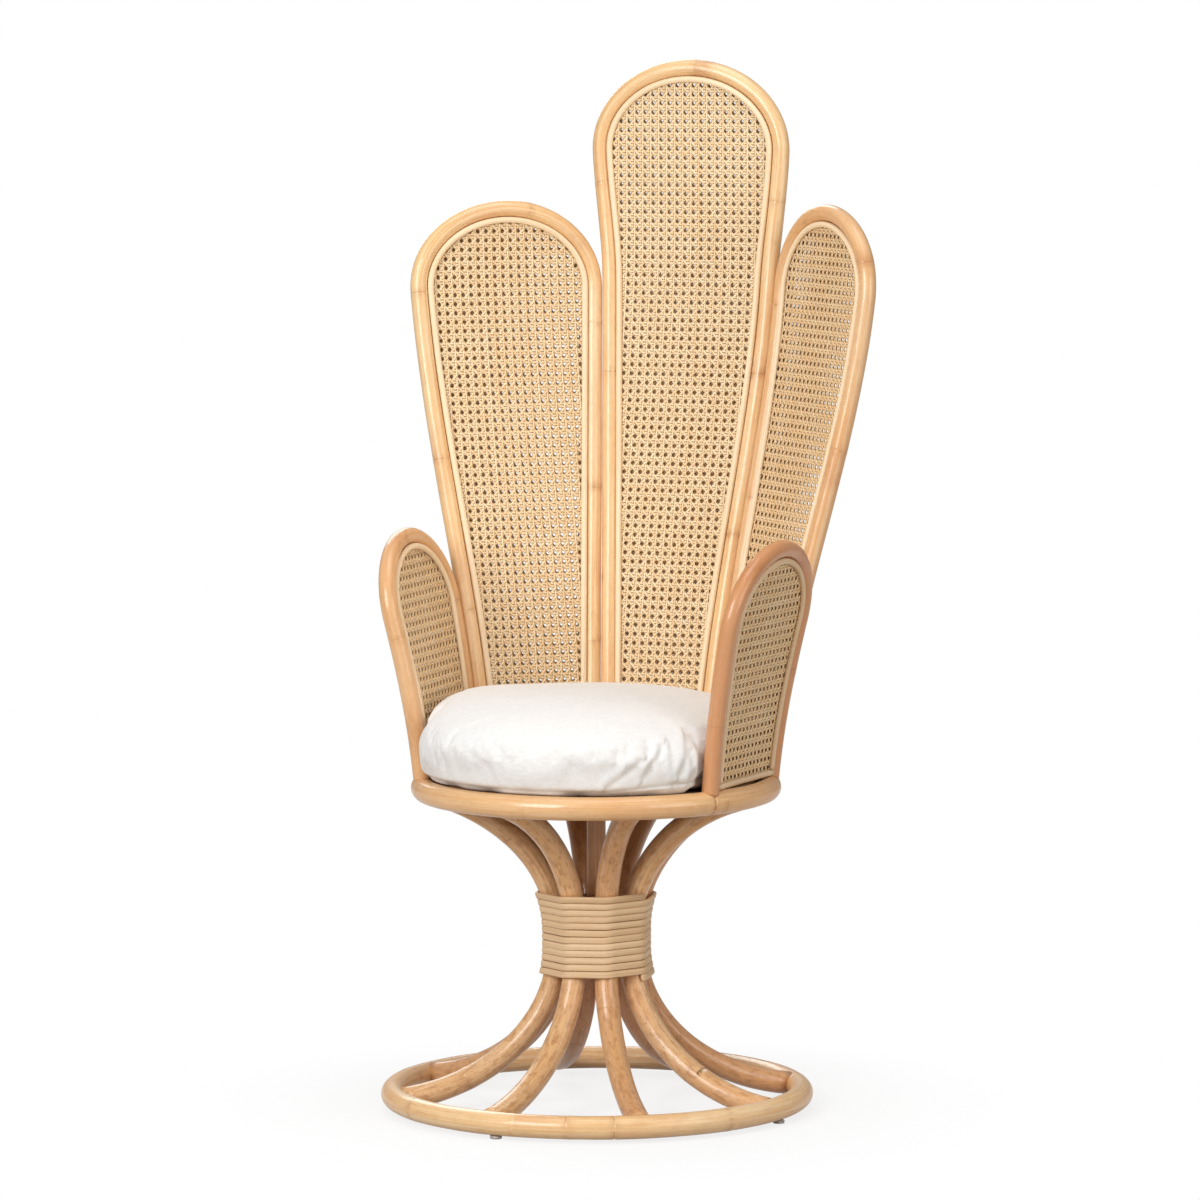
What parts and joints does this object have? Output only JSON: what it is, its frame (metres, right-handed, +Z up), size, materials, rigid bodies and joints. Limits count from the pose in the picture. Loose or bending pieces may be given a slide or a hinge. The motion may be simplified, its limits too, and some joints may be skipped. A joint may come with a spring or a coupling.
{
  "type": "rattan peacock chair",
  "caption": "High-backed rattan armchair: flared cane-filled hoops on a round seat ring, a bound waisted pedestal on a floor ring, and a loose round cushion.",
  "frame": {"origin": "on the floor, under the middle of the whole chair's box", "axes": "+Z up, the open front of the seat faces -Y, +X to the right as seen from the front"},
  "size_m": [0.6888, 0.6626, 1.424],
  "materials": {
    "rattan_pole": "satin",
    "rattan_bead": "satin",
    "cane_webbing": "satin",
    "rattan_binding": "satin",
    "inner_wood": "matte",
    "cushion_cover": "matte",
    "glide": "matte"
  },
  "bodies": {
    "chair": {"floor_ring": "rattan_pole", "floor_glide_1": "glide", "floor_glide_2": "glide", "floor_glide_3": "glide", "floor_glide_4": "glide", "pedestal_pole_1": "rattan_pole", "pedestal_pole_2": "rattan_pole", "pedestal_pole_3": "rattan_pole", "pedestal_pole_4": "rattan_pole", "pedestal_pole_5": "rattan_pole", "pedestal_pole_6": "rattan_pole", "pedestal_pole_7": "rattan_pole", "pedestal_pole_8": "rattan_pole", "waist_core": "inner_wood", "centre_post": "rattan_pole", "waist_binding": "rattan_binding", "seat_ring": "rattan_pole", "seat_deck": "inner_wood", "back_hoop": "rattan_pole", "back_cane": "cane_webbing", "back_cane_outer": "cane_webbing", "back_bead_inner": "rattan_bead", "back_bead_outer": "rattan_bead", "side_left_hoop": "rattan_pole", "side_left_cane": "cane_webbing", "side_left_cane_outer": "cane_webbing", "side_left_bead_inner": "rattan_bead", "side_left_bead_outer": "rattan_bead", "side_right_hoop": "rattan_pole", "side_right_cane": "cane_webbing", "side_right_cane_outer": "cane_webbing", "side_right_bead_inner": "rattan_bead", "side_right_bead_outer": "rattan_bead", "arm_left_hoop": "rattan_pole", "arm_left_cane": "cane_webbing", "arm_left_cane_outer": "cane_webbing", "arm_left_bead_inner": "rattan_bead", "arm_left_bead_outer": "rattan_bead", "arm_right_hoop": "rattan_pole", "arm_right_cane": "cane_webbing", "arm_right_cane_outer": "cane_webbing", "arm_right_bead_inner": "rattan_bead", "arm_right_bead_outer": "rattan_bead"},
    "cushion": {"seat_cushion": "cushion_cover"}
  },
  "joints": [
    {"name": "cushion_lift", "type": "slide", "parent": "chair", "child": "cushion", "axis": [0, 0, 1], "range_m": [0, 0.35]}
  ]
}
